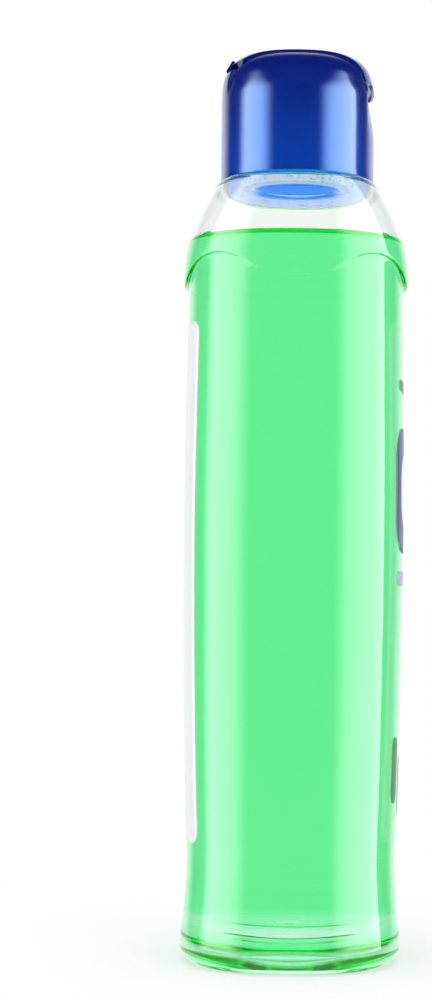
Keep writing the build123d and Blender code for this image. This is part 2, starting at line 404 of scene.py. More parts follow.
# %% [markdown]
# Where gel wets the plastic, light passes from one to the other with hardly a bend, since both
# slow it about as much. A render that treats each as a body in air would bend it twice, and show
# a silvery gap. So the wetted faces of the bottle let light straight through, the sides of the gel
# get an index of refraction of 1, and the outside of the bottle and the free surface of the gel
# keep theirs. The recess under the base is satin, which blurs what would be hard dark rings.

# %% Clear plastic, dry and wet
PLASTIC_INDEX = 1.49
GEL_TINT = (0.075, 0.955, 0.455, 1)
GEL_DENSITY = 29.0


def plain_material(name, **sockets):
    """A new material whose shader gets these values on its own sockets."""
    material = bpy.data.materials.new(name)
    material.use_nodes = True
    shader = material.node_tree.nodes["Principled BSDF"]
    for label, value in sockets.items():
        shader.inputs[label.replace("_", " ")].default_value = value
    return material


dry_plastic = plain_material("clear_plastic", Base_Color=(0.985, 0.995, 0.99, 1), Roughness=0.015,
                             IOR=PLASTIC_INDEX, Transmission_Weight=1)
wet_plastic = plain_material("clear_plastic_wetted", Base_Color=(1, 1, 1, 1), Roughness=0.0,
                             IOR=1.0, Transmission_Weight=1, Alpha=0.0)
base_plastic = plain_material("clear_plastic_base", Base_Color=(0.97, 1.0, 0.98, 1), Roughness=0.10,
                              IOR=1.12, Transmission_Weight=1)


def add_grain(material, scale, height, rough, detail=3.0):
    """Fine unevenness of a moulded skin: a low bump, and a roughness between two values."""
    nodes, links = material.node_tree.nodes, material.node_tree.links
    shader = nodes["Principled BSDF"]
    place = nodes.new("ShaderNodeTexCoord")
    grain = nodes.new("ShaderNodeTexNoise")
    grain.inputs["Scale"].default_value = scale
    grain.inputs["Detail"].default_value = detail
    bump = nodes.new("ShaderNodeBump")
    bump.inputs["Strength"].default_value = 1.0
    bump.inputs["Distance"].default_value = height * MILLIMETRE
    gloss = nodes.new("ShaderNodeMapRange")
    gloss.inputs["To Min"].default_value = rough[0]
    gloss.inputs["To Max"].default_value = rough[1]
    links.new(place.outputs["Object"], grain.inputs["Vector"])
    links.new(grain.outputs["Fac"], bump.inputs["Height"])
    links.new(grain.outputs["Fac"], gloss.inputs["Value"])
    links.new(bump.outputs["Normal"], shader.inputs["Normal"])
    links.new(gloss.outputs["Result"], shader.inputs["Roughness"])


add_grain(dry_plastic, 90, 0.035, (0.005, 0.03), 1.0)


def in_gel(material):
    """Gives the inside of a material the green of the gel, deeper the longer the way through it."""
    nodes, links = material.node_tree.nodes, material.node_tree.links
    tint = nodes.new("ShaderNodeVolumeAbsorption")
    tint.inputs["Color"].default_value = GEL_TINT
    tint.inputs["Density"].default_value = GEL_DENSITY
    links.new(tint.outputs["Volume"], nodes["Material Output"].inputs["Volume"])
    return material


gel_side = in_gel(plain_material("gel_against_wall", Base_Color=(1, 1, 1, 1), Roughness=0.0,
                                 IOR=1.0, Transmission_Weight=1))
gel_top = in_gel(plain_material("gel_free_surface", Base_Color=(1, 1, 1, 1), Roughness=0.0,
                                IOR=1.37, Transmission_Weight=1))

# %% [markdown]
# Each band of faces between two rows gets its finish from its place in the list: the foot and its
# recess, the dry outside, or the inside, which is wet as far up as the gel creeps.

# %% Make the bottle
DRY, WET, SATIN = 0, 1, 2
FOOT_BANDS = 3
base_count = len(recess_rows) + len(ring_rows) + FOOT_BANDS
first_inner = len(bottle_rows) - len(inner_wall) - len(inner_base)
WET_UP_TO = FILL_HEIGHT + MENISCUS - 0.4


def height_of(row):
    """The height of a row at the bottle's corner, where the wavy edge is near its mean."""
    return row(0.7, 0.7)[2]


def bottle_finish(row):
    if row < base_count:
        return SATIN
    if row < first_inner:
        return DRY
    lowest = min(height_of(near) for near in bottle_rows[row:row + 2])
    return WET if lowest < WET_UP_TO else DRY


bottle_draft = shaped_tube(bottle_rows, bottle_finish)
close_ends(bottle_draft, (SATIN, WET))
finished_piece("bottle_shell", bottle_draft, "filled_bottle",
               [dry_plastic, wet_plastic, base_plastic], ["bottle"])

# %% [markdown]
# The gel fills the bottle from the base up to the liquid line. Its rows are the bottle's inner
# ones, a hair further in. At the wall its surface creeps up a little, as liquids that wet their
# vessel do, and there it shows as a dark green line.

# %% Make the gel
FILM = 0.05
gel_inset = WALL + FILM
gel_floor = BASE_WALL + FILM
gel_base = [round_row(PUSH_DEPTH + PLATEAU_HEIGHT + gel_floor, INNERMOST)]
gel_base += plateau_rows(gel_inset, gel_floor) + dome_rows(gel_inset, gel_floor)[:-1]
gel_base += heel_rows(gel_inset, gel_floor)
GEL_WALL_TOP = FILL_HEIGHT - 0.6
gel_wall = [row for row in wall_rows(gel_inset, FIRST_INSIDE) if height_of(row) < GEL_WALL_TOP]


def surface_row(height, inward):
    """A ring of the free surface, a little inside the wall."""
    wide, deep, power = shoulder_half(height, gel_inset + inward)
    return oval_row(height, wide, deep, power)


CREEP = (
    # share of the rise at the wall, distance from the wall
    (0.0, 0), (0.5, 0), (0.9, 0), (1.0, 0.12), (0.8, 0.4), (0.5, 0.9), (0.25, 1.6), (0.1, 2.6),
    (0.0, 4.0),
)
WALL_BANDS_OF_CREEP, LEVEL_FROM = 3, 6
gel_rise = [surface_row(FILL_HEIGHT + MENISCUS * rise, inward) for rise, inward in CREEP]
wide, deep, power = shoulder_half(FILL_HEIGHT, gel_inset + LEVEL_FROM)
gel_middle = [
    oval_row(FILL_HEIGHT, wide * share, deep * share, power)
    for share in (1, 0.8, 0.6, 0.4, 0.2, 0.06)
]
gel_rows = gel_base + gel_wall + gel_rise + gel_middle
first_free = len(gel_base) + len(gel_wall) + WALL_BANDS_OF_CREEP
gel_draft = shaped_tube(gel_rows, lambda row: 1 if row >= first_free else 0)
close_ends(gel_draft, (0, 1))
finished_piece("shower_gel_fill", gel_draft, "filled_bottle", [gel_side, gel_top],
               ["shower_gel"])

# %% [markdown]
# Small drops hang under the shoulder, where the gel has splashed. Each drop is a low ball of its
# own, all in one mesh. A seeded draw gives their places and sizes, so that every run is the same.

# %% Drops under the shoulder
DROP_COUNT, DROP_SEED = 170, 7
DROP_PLACES, DROP_RADII, DROP_SINK = (0.52, 0.86), (0.10, 0.42), 0.55
NECK_CLEARANCE = 14.5
drop_liquid = plain_material("gel_drops", Base_Color=(0.90, 0.99, 0.93, 1), Roughness=0.02,
                             IOR=1.33, Transmission_Weight=1)
draw = random.Random(DROP_SEED)
drops_draft = bmesh.new()
for _ in range(DROP_COUNT):
    turn = draw.uniform(0, math.tau)
    reach, radius = draw.uniform(*DROP_PLACES), draw.uniform(*DROP_RADII)
    across, along = LEDGE_HALF_WIDTH * reach, LEDGE_HALF_DEPTH * reach
    x, y = on_oval(math.cos(turn), math.sin(turn), across, along, 2)
    if math.hypot(x, y) < NECK_CLEARANCE:
        continue
    place = Matrix.Translation((x, y, SHOULDER_TOP - WALL - radius * DROP_SINK))
    bmesh.ops.create_icosphere(drops_draft, subdivisions=2, radius=radius, matrix=place)
finished_piece("gel_drops", drops_draft, "filled_bottle", [drop_liquid])

# %% [markdown]
# The cap is moulded in a deep blue plastic. A thin smooth skin over the pigment mirrors the room,
# and the pigment itself tints the light that it throws back. Its blue is painted lighter low down
# and darker towards the crown by a gradient over the height, which is painted shade. The inside of
# the cap has a faint painted glow, which stands in for daylight coming through the blue wall from
# behind.

# %% Blue plastic
CAP_LOW, CAP_TOP = 213.0, 249.4
CAP_PAINTED_SHADE_BLUE, CAP_BLUE_BELOW_SHADE = (0.0, 0.010, 0.20, 1), (0.0, 0.042, 0.42, 1)


def blue_with_painted_shade(name, low, high, deep, light, **sockets):
    """Blue plastic with painted shade: light at the low height and deep at the high one, in
    millimetres.
    """
    material = plain_material(name, **sockets)
    nodes, links = material.node_tree.nodes, material.node_tree.links
    place = nodes.new("ShaderNodeTexCoord")
    axes = nodes.new("ShaderNodeSeparateXYZ")
    share = nodes.new("ShaderNodeMapRange")
    share.interpolation_type = "SMOOTHSTEP"
    share.inputs["From Min"].default_value = low * MILLIMETRE
    share.inputs["From Max"].default_value = high * MILLIMETRE
    ramp = nodes.new("ShaderNodeMix")
    ramp.data_type = "RGBA"
    ramp.inputs["A"].default_value = light
    ramp.inputs["B"].default_value = deep
    links.new(place.outputs["Object"], axes.inputs[0])
    links.new(axes.outputs["Z"], share.inputs["Value"])
    links.new(share.outputs["Result"], ramp.inputs["Factor"])
    links.new(ramp.outputs["Result"], nodes["Principled BSDF"].inputs["Base Color"])
    return material


# Painted shade: the cap's blue darkens from the rim up to 6 mm under the top.
PAINTED_SHADE_FROM = CAP_TOP - 6
cap_blue = blue_with_painted_shade("blue_plastic", CAP_LOW, PAINTED_SHADE_FROM, CAP_PAINTED_SHADE_BLUE, CAP_BLUE_BELOW_SHADE,
                          Roughness=0.18, IOR=1.66, Specular_IOR_Level=1.0,
                          Specular_Tint=(0.25, 0.50, 1, 1), Coat_Weight=0.25, Coat_Roughness=0.06)
add_grain(cap_blue, 700, 0.004, (0.14, 0.24))
# Painted glow: the inside of the cap gives off a faint blue light of its own, standing in for
# daylight through the wall.
inner_blue_painted_glow = plain_material("blue_plastic_inside_painted_glow", Base_Color=(0.02, 0.25, 0.75, 1), Roughness=0.4,
                            Emission_Color=(0.0, 0.30, 0.85, 1), Emission_Strength=0.6)
add_grain(inner_blue_painted_glow, 500, 0.01, (0.35, 0.5))


# %% [markdown]
# The cap is one oval skirt that rounds over into a dome. Seen from the narrow side the dome is
# round, and seen from the front it is boxier, so width and depth draw in by their own curves. A
# shallow scoop under the lid's front edge makes room for the thumb, and the cheeks beside the lid
# lie a little deeper than the lid, so that its edge shows.

# %% Rings of the cap
CAP_HALF_WIDTH, CAP_HALF_DEPTH, CAP_POWER = 32.2, 21.1, 2.35
CAP_WALL = 1.6
DOME_DEPTH_HEIGHT, DOME_DEPTH_POWER = 16.0, 3.7
DOME_WIDTH_HEIGHT, DOME_WIDTH_POWER = 20.0, 2.8
LID_HALF_WIDTH, LID_GAP = 17.0, 0.3
DECK_HEIGHT, DECK_THICKNESS = CAP_TOP - 10.2, 1.5
CHEEK_DROP, CHEEK_EDGE_IN, CHEEK_EDGE = 0.55, 1, 1.5
CHEEK_START, CHEEK_RUN_IN, CHEEK_TOP_RUN_IN = DECK_HEIGHT - 4, 5, 6
SCOOP_DEPTH, SCOOP_HALF_WIDTH, SCOOP_SIDE, SCOOP_LOW = 1.75, 15.0, 4, 225.0


def drawn_in(height, top, dome_height, power):
    """How much of its girth the dome has left at a height: 1 at its foot and 0 at its top."""
    share = max(0.0, height - top + dome_height) / dome_height
    return max(0.0, 1 - share ** power) ** (1 / power)


def cap_half(height, inset=0.0):
    """Half sizes of the cap at a height, every side and the top moved in by inset."""
    top = CAP_TOP - inset
    return (
        (CAP_HALF_WIDTH - inset) * drawn_in(height, top, DOME_WIDTH_HEIGHT, DOME_WIDTH_POWER),
        (CAP_HALF_DEPTH - inset) * drawn_in(height, top, DOME_DEPTH_HEIGHT, DOME_DEPTH_POWER),
    )


def cap_row(height, inset=0.0, scooped=True):
    """A ring of the cap. The outside has its cheeks set back and the thumb scoop in its front."""
    across, along = cap_half(height, inset)
    cheek_drop = 0
    if scooped and not inset:
        cheek_drop = CHEEK_DROP * smooth_step((height - CHEEK_START) / CHEEK_RUN_IN)

    def place(x, y):
        wide, deep = on_oval(x, y, across, along, CAP_POWER)
        beside_lid = smooth_step((abs(wide) - LID_HALF_WIDTH + CHEEK_EDGE_IN) / CHEEK_EDGE)
        drop = cheek_drop * beside_lid
        if drop and across > 1:
            down = drop * smooth_step((height - DECK_HEIGHT) / CHEEK_TOP_RUN_IN)
            return wide * (1 - drop / across), deep * (1 - drop / along), height - down
        if scooped and deep < 0 and SCOOP_LOW < height < DECK_HEIGHT + 1:
            depth = SCOOP_DEPTH * smooth_step((height - SCOOP_LOW) / (DECK_HEIGHT - SCOOP_LOW))
            edge = SCOOP_HALF_WIDTH + SCOOP_SIDE / 2
            deep += depth * smooth_step((edge - abs(wide)) / SCOOP_SIDE)
        return wide, deep, height

    return place


CROWN_SHARE = 0.945


def dome_heights(inset, steps=34):
    """Heights over the dome, closer together towards its crown."""
    low, top = CAP_TOP - DOME_WIDTH_HEIGHT, CAP_TOP - inset
    turns = spread(0, math.pi / 2 * CROWN_SHARE, steps)
    return [low + (top - low) * math.sin(turn) for turn in turns]


def dome_draft(inset, low, scooped=False):
    """The closed form of skirt and dome, flat at the bottom."""
    heights = [low] + spread(low, CAP_TOP - DOME_WIDTH_HEIGHT, 5)[1:-1] + dome_heights(inset)
    draft = shaped_tube([cap_row(height, inset, scooped) for height in heights])
    close_ends(draft)
    return draft


# %% [markdown]
# The lid lies in a channel across the dome. The channel is cut out of the finished dome, and the
# lid is the same dome cut to the channel's inside, so both run over the edge in one line. A block
# and a round bar are the cutters, and a narrow bevel afterwards breaks the cut edges.

# %% Cut solids
UPRIGHT_TO_ACROSS = Matrix.Rotation(math.pi / 2, 3, "Y")
ABOVE_CAP = CAP_TOP + 5
MERGE_DISTANCE = 0.02


def loose_solid(name, draft):
    """A solid that only helps to shape another one."""
    mesh = bpy.data.meshes.new(name)
    draft.to_mesh(mesh)
    draft.free()
    solid = bpy.data.objects.new(name, mesh)
    bpy.context.scene.collection.objects.link(solid)
    return solid


def block_draft(x_range, y_range, z_range):
    draft = bmesh.new()
    bmesh.ops.create_cube(draft, size=1)
    sizes = [high - low for low, high in (x_range, y_range, z_range)]
    middle = [(high + low) / 2 for low, high in (x_range, y_range, z_range)]
    bmesh.ops.scale(draft, vec=sizes, verts=draft.verts)
    bmesh.ops.translate(draft, vec=middle, verts=draft.verts)
    return draft


def bar_draft(radius, half_length, y, z, segments=48):
    """A round bar along X."""
    draft = bmesh.new()
    bmesh.ops.create_cone(draft, cap_ends=True, segments=segments, radius1=radius, radius2=radius,
                          depth=2 * half_length)
    bmesh.ops.rotate(draft, verts=draft.verts, cent=(0, 0, 0), matrix=UPRIGHT_TO_ACROSS)
    bmesh.ops.translate(draft, vec=(0, y, z), verts=draft.verts)
    return draft


def combine(draft, operation, *others):
    """Cuts, joins or intersects solids one after the other, and returns the new draft."""
    solid = loose_solid("work_solid", draft)
    for other in others:
        helper = loose_solid("cutter", other)
        step = solid.modifiers.new("step", "BOOLEAN")
        step.operation, step.solver, step.object = operation, "EXACT", helper
        bpy.context.view_layer.update()
        graph = bpy.context.evaluated_depsgraph_get()
        result = bpy.data.meshes.new_from_object(solid.evaluated_get(graph))
        solid.modifiers.clear()
        solid.data = result
        bpy.data.objects.remove(helper)
    made = bmesh.new()
    made.from_mesh(solid.data)
    bpy.data.objects.remove(solid)
    bmesh.ops.remove_doubles(made, verts=made.verts, dist=MERGE_DISTANCE)
    return made


# %% [markdown]
# The cap body is one tube like the bottle: from the underside of the deck, round the socket that
# sits on the neck, down the inside of the skirt, round its rim and up over the dome. The lid's
# channel, the step for its rear strap, the open room behind the hinge and the round seat of the
# hinge are then cut out of it.

# %% Cap body
HINGE_Y, HINGE_Z, HINGE_RADIUS = 17.5, 245.0, 2.2
LID_BACK = HINGE_Y - 4.4
FAR = 40.0
SOCKET_RADIUS, SOCKET_OUTSIDE, SOCKET_LIFT = 13.1, 15.1, 3.0
DECK_EDGE, SKIRT_HALVES = 15.6, (30.0, 18.2)
DEEPER_INSIDE, DEEPER_FROM = 1.6, 228

under_deck = DECK_HEIGHT - DECK_THICKNESS
socket_foot = CAP_LOW + SOCKET_LIFT
SOCKET_PROFILE = (
    (under_deck, 0.5), (under_deck, SOCKET_RADIUS - 0.1), (under_deck - 0.2, SOCKET_RADIUS),
    (CAP_LOW + 3.3, SOCKET_RADIUS), (socket_foot, 13.4), (socket_foot, 14.8),
    (CAP_LOW + 3.3, SOCKET_OUTSIDE), (under_deck - 0.4, SOCKET_OUTSIDE), (under_deck, DECK_EDGE),
)
hollow_rows = [round_row(height, radius) for height, radius in SOCKET_PROFILE]
hollow_rows += [
    oval_row(under_deck, mix(DECK_EDGE, SKIRT_HALVES[0], share),
             mix(DECK_EDGE, SKIRT_HALVES[1], share), mix(2, CAP_POWER, share))
    for share in (0.5, 1)
]
hollow_rows += [
    oval_row(height, CAP_HALF_WIDTH - CAP_WALL,
             CAP_HALF_DEPTH - CAP_WALL - DEEPER_INSIDE * (height > DEEPER_FROM), CAP_POWER)
    for height in (under_deck - 0.6, 230, 222, 216)
]
RIM_PROFILE = ((0.35, CAP_WALL), (0.05, CAP_WALL - 0.3), (0, 0.3), (0.1, 0.08), (0.35, 0))
rim_rows = [cap_row(CAP_LOW + lift, inset) for lift, inset in RIM_PROFILE]
skirt_heights = spread(CAP_LOW + 2, CAP_TOP - DOME_WIDTH_HEIGHT - 0.8, 9)
outside_rows = [cap_row(height) for height in skirt_heights + dome_heights(0)]
inside_count = len(hollow_rows)
body_draft = shaped_tube(hollow_rows + rim_rows + outside_rows,
                         lambda row: 1 if row < inside_count else 0)
close_ends(body_draft, (1, 0))
channel_half = LID_HALF_WIDTH + LID_GAP
channel = (-channel_half, channel_half)
seat_low = HINGE_Z - HINGE_RADIUS - LID_GAP
cap_draft = combine(
    body_draft, "DIFFERENCE",
    block_draft(channel, (-FAR, LID_BACK + LID_GAP), (DECK_HEIGHT, ABOVE_CAP)),
    block_draft(channel, (LID_BACK, FAR), (HINGE_Z - LID_GAP, ABOVE_CAP)),
    block_draft(channel, (HINGE_Y, FAR), (seat_low, ABOVE_CAP)),
    bar_draft(HINGE_RADIUS + LID_GAP, channel_half, HINGE_Y, HINGE_Z),
)
cap_body = finished_piece("cap_shell", cap_draft, "filled_bottle", [cap_blue, inner_blue_painted_glow],
                          ["cap_body"])


def break_edges(piece, width):
    """A small round on the cut edges, which catches the light along the parting lines."""
    edges = piece.modifiers.new("edges", "BEVEL")
    edges.limit_method, edges.angle_limit = "ANGLE", math.radians(45)
    edges.width, edges.segments = width * MILLIMETRE, 2


break_edges(cap_body, 0.25)

# %% [markdown]
# The gel leaves through a short round spout on the deck. It is a turned part: its profile, written
# down from the middle of the orifice out to its foot, is spun like the bottle's.

# %% Spout on the deck
SPOUT_RADIUS, SPOUT_HEIGHT, ORIFICE_RADIUS = 4.8, 4.0, 3.2
ROUND_SEGMENTS = 64
SPOUT_PROFILE = (
    (0.03, 0.4), (0.03, ORIFICE_RADIUS), (SPOUT_HEIGHT - 0.3, ORIFICE_RADIUS),
    (SPOUT_HEIGHT, ORIFICE_RADIUS + 0.3), (SPOUT_HEIGHT, SPOUT_RADIUS - 0.3),
    (SPOUT_HEIGHT - 0.3, SPOUT_RADIUS), (0.5, SPOUT_RADIUS), (0.1, SPOUT_RADIUS + 0.15),
    (-0.5, SPOUT_RADIUS + 0.6),
)
spout_rows = [round_row(DECK_HEIGHT + lift, radius) for lift, radius in SPOUT_PROFILE]
spout_draft = shaped_tube(spout_rows, segments=ROUND_SEGMENTS)
close_ends(spout_draft)
finished_piece("spout", spout_draft, "filled_bottle", [cap_blue])

# %% [markdown]
# The lid is what the channel took out of the dome, less the gaps: a deep part over the deck and a
# shallow strap that reaches back over the hinge. A smaller dome makes it hollow from below.

# %% Flip lid
LID_WALL = 1.5
lid_low = DECK_HEIGHT + LID_GAP
lid_side = (-LID_HALF_WIDTH, LID_HALF_WIDTH)
lid_space = combine(
    block_draft(lid_side, (-FAR, LID_BACK), (lid_low, ABOVE_CAP)), "UNION",
    block_draft(lid_side, (LID_BACK - 1, FAR), (HINGE_Z, ABOVE_CAP)))
lid_outer = combine(dome_draft(0, CAP_LOW), "INTERSECT", lid_space)
hollow_side = (-LID_HALF_WIDTH + LID_WALL, LID_HALF_WIDTH - LID_WALL)
lid_hollow = combine(
    dome_draft(LID_WALL, CAP_LOW), "INTERSECT",
    block_draft(hollow_side, (-FAR, LID_BACK - LID_WALL), (CAP_LOW, ABOVE_CAP)))
lid_draft = combine(lid_outer, "DIFFERENCE", lid_hollow)
flip_lid = finished_piece("flip_lid_shell", lid_draft, "lid", [cap_blue],
                          ["flip_lid"])
break_edges(flip_lid, 0.35)

# %% [markdown]
# The lid's front edge runs out into a thin lip that hugs the dome, for the thumb to push. It is a
# grid laid on the dome's curve and given a thickness. Its lower edge rises towards both ends.

# %% Thumb lip
def thicken(piece, thickness, outward=1):
    """Gives a sheet a thickness, outwards (1) or inwards (-1) from its face."""
    solid = piece.modifiers.new("thickness", "SOLIDIFY")
    solid.thickness, solid.offset = thickness * MILLIMETRE, outward


def on_dome(x, height, lift):
    """The front of the dome at that place, lifted off it."""
    across, along = cap_half(height)
    return -(along + lift) * (1 - abs(x / across) ** CAP_POWER) ** (1 / CAP_POWER)


LIP_HALF_WIDTH, LIP_LOW, LIP_HIGH, LIP_END_RISE = 14.0, 238.8, 244.0, 1.6
LIP_SUNK, LIP_PROUD, LIP_THICKNESS = -0.12, 0.08, 0.8
lip_draft = bmesh.new()
bmesh.ops.create_grid(lip_draft, x_segments=24, y_segments=20, size=1)
for vert in lip_draft.verts:
    share, across = (1 - vert.co.y) / 2, vert.co.x * LIP_HALF_WIDTH
    height = mix(LIP_HIGH, LIP_LOW + LIP_END_RISE * abs(vert.co.x) ** 4, share)
    lift = mix(LIP_SUNK, LIP_PROUD, smooth_step(share))
    vert.co = (across, on_dome(across, height, lift), height)
lip_piece = finished_piece("lid_lip", lip_draft, "lid", [cap_blue])
thicken(lip_piece, LIP_THICKNESS, outward=-1)

# %% [markdown]
# The lid turns on a slim barrel in the seat behind. Over the barrel lies a slanted tab with round
# edges, which ends the lid's strap. The tab is a circle drawn out to a long oval, pushed into a
# bar, laid across and tilted.

# %% Hinge tab and barrel
TAB_HALF_LENGTH, TAB_RADIUS, TAB_REACH = 6.0, 0.55, 1.33
TAB_TILT, TAB_BEHIND, TAB_ABOVE = math.radians(30), 1.07, 0.45
tab_draft = bmesh.new()
bmesh.ops.create_circle(tab_draft, cap_ends=True, segments=24, radius=TAB_RADIUS)
for vert in tab_draft.verts:
    vert.co.x += math.copysign(TAB_REACH, vert.co.x + 0.001)
pushed = bmesh.ops.extrude_face_region(tab_draft, geom=tab_draft.faces[:])["geom"]
far_end = [item for item in pushed if isinstance(item, bmesh.types.BMVert)]
bmesh.ops.translate(tab_draft, vec=(0, 0, 2 * TAB_HALF_LENGTH), verts=far_end)
bmesh.ops.translate(tab_draft, vec=(0, 0, -TAB_HALF_LENGTH), verts=tab_draft.verts)
for turn in (UPRIGHT_TO_ACROSS, Matrix.Rotation(TAB_TILT, 3, "X")):
    bmesh.ops.rotate(tab_draft, verts=tab_draft.verts, cent=(0, 0, 0), matrix=turn)
bmesh.ops.translate(tab_draft, vec=(0, HINGE_Y + TAB_BEHIND, HINGE_Z + TAB_ABOVE),
                    verts=tab_draft.verts)
bmesh.ops.recalc_face_normals(tab_draft, faces=tab_draft.faces)
finished_piece("hinge_tab", tab_draft, "lid", [cap_blue])

BARREL_RADIUS, BARREL_HALF_LENGTH = 1.1, 8.0
barrel_draft = bar_draft(BARREL_RADIUS, BARREL_HALF_LENGTH, HINGE_Y, HINGE_Z)
finished_piece("hinge_barrel", barrel_draft, "lid", [cap_blue])

# %% [markdown]
# Under the lid a short collar closes round the outside of the spout, so that the mouth of the
# spout itself stays free.

# %% Sealing collar under the lid
COLLAR_RADIUS, COLLAR_WALL = SPOUT_RADIUS + 0.5, 1.0
COLLAR_LOW, COLLAR_ROUND = DECK_HEIGHT + SPOUT_HEIGHT - 1.2, 0.2
COLLAR_ROOF, COLLAR_TOP = CAP_TOP - LID_WALL - 0.4, CAP_TOP - LID_WALL + 0.5
COLLAR_PROFILE = (
    (COLLAR_TOP, COLLAR_RADIUS + COLLAR_WALL),
    (COLLAR_LOW + COLLAR_ROUND, COLLAR_RADIUS + COLLAR_WALL),
    (COLLAR_LOW, COLLAR_RADIUS + COLLAR_WALL - COLLAR_ROUND),
    (COLLAR_LOW, COLLAR_RADIUS + COLLAR_ROUND),
    (COLLAR_LOW + COLLAR_ROUND, COLLAR_RADIUS),
    (COLLAR_ROOF, COLLAR_RADIUS),
    (COLLAR_ROOF, 0.5),
)
collar_rows = [round_row(height, radius) for height, radius in COLLAR_PROFILE]
collar_draft = shaped_tube(collar_rows, segments=ROUND_SEGMENTS)
close_ends(collar_draft)
finished_piece("lid_collar", collar_draft, "lid", [cap_blue])

# %% [markdown]
# The labels are thin films stuck on the two broad faces. Each starts as a flat grid. Its corner
# points are drawn in to a round corner, and every point is then laid on the bottle's skin.

# %% Labels
white_film = plain_material("white_film", Base_Color=(0.93, 0.94, 0.94, 1), Roughness=0.35)
clear_film = plain_material("clear_film", Base_Color=(0.95, 1, 0.97, 1), Roughness=0.25, Alpha=0.06)
add_grain(white_film, 1500, 0.006, (0.28, 0.42))
add_grain(clear_film, 1500, 0.006, (0.18, 0.3))


def laid_film(side, width, low, high, corner, lift, steps=(30, 80), middle=0.0):
    """A film on the face at that side (-1 front, 1 back), lifted off the skin by so much."""
    draft = bmesh.new()
    bmesh.ops.create_grid(draft, x_segments=steps[0], y_segments=steps[1], size=1)
    for vert in draft.verts:
        x, z = vert.co.x * width / 2, vert.co.y * (high - low) / 2
        over_x = max(0, abs(x) - width / 2 + corner)
        over_z = max(0, abs(z) - (high - low) / 2 + corner)
        reach = math.hypot(over_x, over_z)
        if over_x and over_z and reach > corner:
            x -= math.copysign(over_x * (1 - corner / reach), x)
            z -= math.copysign(over_z * (1 - corner / reach), z)
        x, z = x + middle, z + (low + high) / 2
        wide, deep = body_half(z, -lift)
        vert.co = (x, side * deep * (1 - abs(x / wide) ** SQUARENESS) ** (1 / SQUARENESS), z)
    if side > 0:
        bmesh.ops.reverse_faces(draft, faces=draft.faces)
    return draft


LABEL_LIFT, LABEL_THICKNESS, LABEL_CORNER, LABEL_HIGH = 0.04, 0.16, 4, 174
FRONT_WIDTH, FRONT_LOW = 50, 34
BACK_WIDTH, BACK_LOW = 46, 33
back_draft = laid_film(1, BACK_WIDTH, BACK_LOW, LABEL_HIGH, LABEL_CORNER, LABEL_LIFT)
back = finished_piece("back_label_film", back_draft, "filled_bottle", [white_film],
                      ["back_label"])
thicken(back, LABEL_THICKNESS)
front_draft = laid_film(-1, FRONT_WIDTH, FRONT_LOW, LABEL_HIGH, LABEL_CORNER, LABEL_LIFT)
front = finished_piece("front_label_film", front_draft, "filled_bottle", [clear_film],
                       ["front_label"])
thicken(front, LABEL_THICKNESS)

# %% [markdown]
# The front film carries a plain print: a dark panel with a white one in it, two bars and three
# green drops. Each field of colour is a thin film of its own on top of the clear one.

# %% Print on the front
PRINT_COLOURS = {
    "print_navy": (0.012, 0.022, 0.16, 1), "print_white": (0.90, 0.91, 0.93, 1),
    "print_lilac": (0.42, 0.38, 0.72, 1), "print_green": (0.01, 0.22, 0.05, 1),
}
INK_THICKNESS = 0.03
print_inks = {
    name: plain_material(name, Base_Color=colour, Roughness=0.3)
    for name, colour in PRINT_COLOURS.items()
}
for ink in print_inks.values():
    add_grain(ink, 2500, 0.004, (0.22, 0.38))
PRINT_FIELDS = (
    # name, ink, width, low, high, corner, middle across, lift over the skin
    ("print_panel", "print_navy", 42, 112, 146, 9, 0, 0.20),
    ("print_window", "print_white", 30, 119, 139, 7, 0, 0.24),
    ("print_bar_high", "print_green", 34, 156, 159, 1.4, 0, 0.20),
    ("print_bar_middle", "print_lilac", 38, 103, 107, 1.9, 0, 0.20),
    ("print_drop_left", "print_green", 6, 44, 62, 2.9, -17, 0.20),
    ("print_drop_middle", "print_green", 6, 40, 56, 2.9, 0, 0.20),
    ("print_drop_right", "print_green", 6, 44, 62, 2.9, 17, 0.20),
)
for name, ink, width, low, high, corner, middle, lift in PRINT_FIELDS:
    draft = laid_film(-1, width, low, high, corner, lift, (24, 24), middle)
    field = finished_piece(name, draft, "filled_bottle", [print_inks[ink]])
    thicken(field, INK_THICKNESS)

# %% [markdown]
# The bottle stands on a pale floor in a white room. The floor is a round sheet that thins out to
# nothing, so that no horizon shows. To the camera it is half a glow and half a matt surface, which
# keeps it pale and leaves the bottle's soft shadow on it. Seen through the clear plastic, or
# mirrored in it, the floor is plain white.

# %% Light path helper
def seen_through(nodes, links):
    """1 for light that comes through clear plastic or off a gloss, 0 for the rest."""
    path = nodes.new("ShaderNodeLightPath")
    either = nodes.new("ShaderNodeMath")
    either.operation = "MAXIMUM"
    links.new(path.outputs["Is Transmission Ray"], either.inputs[0])
    links.new(path.outputs["Is Glossy Ray"], either.inputs[1])
    return either.outputs[0]


# %% Floor
FLOOR_FADE_FROM, FLOOR_FADE_TO = 0.08, 0.26
FLOOR_RADIUS = FLOOR_FADE_TO + 0.02
FLOOR_GLOW = 0.55
floor_draft = bmesh.new()
bmesh.ops.create_circle(floor_draft, cap_ends=True, segments=96, radius=FLOOR_RADIUS)
floor_mesh = bpy.data.meshes.new("floor")
floor_draft.to_mesh(floor_mesh)
floor_draft.free()
pale_floor = plain_material("pale_floor", Base_Color=(0.95, 0.95, 0.95, 1), Roughness=0.9,
                            Specular_IOR_Level=0.0)
nodes, links = pale_floor.node_tree.nodes, pale_floor.node_tree.links
through = seen_through(nodes, links)
white = nodes.new("ShaderNodeEmission")
plain_or_white = nodes.new("ShaderNodeMixShader")
pale = nodes.new("ShaderNodeMath")
pale.operation = "MAXIMUM"
pale.inputs[1].default_value = FLOOR_GLOW
links.new(through, pale.inputs[0])
